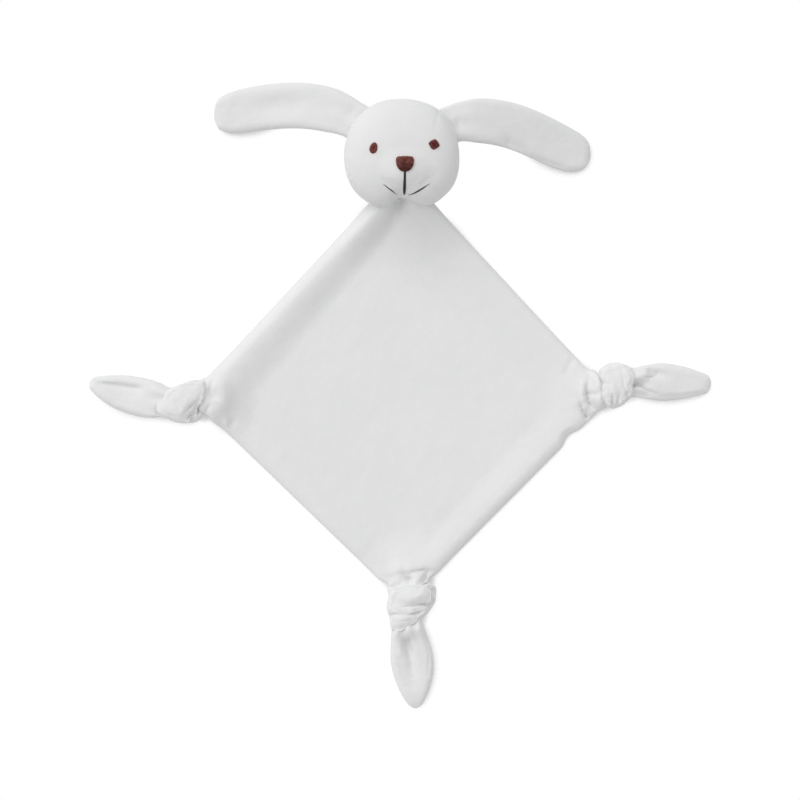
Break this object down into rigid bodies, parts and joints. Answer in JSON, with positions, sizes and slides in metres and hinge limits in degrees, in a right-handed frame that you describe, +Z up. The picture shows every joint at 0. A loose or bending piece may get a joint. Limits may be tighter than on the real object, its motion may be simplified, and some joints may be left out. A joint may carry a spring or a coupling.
{
  "type": "comfort blanket lovey",
  "caption": "Soft baby comforter: a double-layer velour blanket with knotted corners, gathered into a stuffed bunny head with long flat ears and a stitched face.",
  "frame": {"origin": "the point of the floor under the crossing of the blanket's diagonals, on the underside of the back panel", "axes": "+Z up from the floor that the toy lies on, +Y towards the head, +X towards the right knot as seen from above"},
  "size_m": [0.3968, 0.3942, 0.0482],
  "materials": {
    "velour": "short-pile off-white velour",
    "stuffing": "loose polyester fibre",
    "nose_thread": "satin-stitched red-brown thread",
    "eye_thread": "satin-stitched brown thread",
    "mouth_thread": "stitched dark brown thread"
  },
  "bodies": {
    "blanket": {"blanket_front_panel": "velour", "blanket_back_panel": "velour"},
    "neck": {"neck_gather": "velour"},
    "head": {"head_face_panel": "velour", "head_back_panel": "velour", "head_stuffing": "stuffing", "left_eye": "eye_thread", "right_eye": "eye_thread", "nose": "nose_thread", "philtrum": "mouth_thread", "smile": "mouth_thread"},
    "left_ear": {"left_ear_front": "velour", "left_ear_back": "velour"},
    "right_ear": {"right_ear_front": "velour", "right_ear_back": "velour"},
    "left_knot": {"left_knot": "velour"},
    "left_tail": {"left_tail": "velour"},
    "right_knot": {"right_knot": "velour"},
    "right_tail": {"right_tail": "velour"},
    "bottom_knot": {"bottom_knot": "velour"},
    "bottom_tail": {"bottom_tail": "velour"}
  },
  "joints": [
    {"name": "neck_fold", "type": "hinge", "parent": "blanket", "child": "neck", "pos_m": [0.001, 0.1143, 0.02], "axis": [1, 0, 0], "range_deg": [-40, 75]},
    {"name": "head_turn", "type": "hinge", "parent": "neck", "child": "head", "pos_m": [0.001, 0.119, 0.02], "axis": [0, 1, 0], "range_deg": [-60, 60]},
    {"name": "left_ear_fold", "type": "hinge", "parent": "head", "child": "left_ear", "pos_m": [-0.03113, 0.1726, 0.023], "axis": [0.5736, 0.8192, 0], "range_deg": [-45, 90]},
    {"name": "right_ear_fold", "type": "hinge", "parent": "head", "child": "right_ear", "pos_m": [0.03417, 0.17077, 0.023], "axis": [0.5299, -0.848, 0], "range_deg": [-45, 90]},
    {"name": "left_knot_fold", "type": "hinge", "parent": "blanket", "child": "left_knot", "pos_m": [-0.1233, -0.0019, 0.01], "axis": [-0.0698, 0.9976, 0], "range_deg": [-40, 40]},
    {"name": "left_tail_fold", "type": "hinge", "parent": "left_knot", "child": "left_tail", "pos_m": [-0.14824, -0.00364, 0.01], "axis": [0.1564, 0.9877, 0], "range_deg": [-45, 45]},
    {"name": "right_knot_fold", "type": "hinge", "parent": "blanket", "child": "right_knot", "pos_m": [0.1254, 0.0029, 0.01], "axis": [0.2419, -0.9703, 0], "range_deg": [-40, 40]},
    {"name": "right_tail_fold", "type": "hinge", "parent": "right_knot", "child": "right_tail", "pos_m": [0.14966, 0.00895, 0.01], "axis": [0.0523, -0.9986, 0], "range_deg": [-45, 45]},
    {"name": "bottom_knot_fold", "type": "hinge", "parent": "blanket", "child": "bottom_knot", "pos_m": [0.00611, -0.11903, 0.01], "axis": [-0.9962, 0.0872, 0], "range_deg": [-40, 40]},
    {"name": "bottom_tail_fold", "type": "hinge", "parent": "bottom_knot", "child": "bottom_tail", "pos_m": [0.00393, -0.14393, 0.01], "axis": [-0.9945, -0.1045, 0], "range_deg": [-45, 45]}
  ]
}
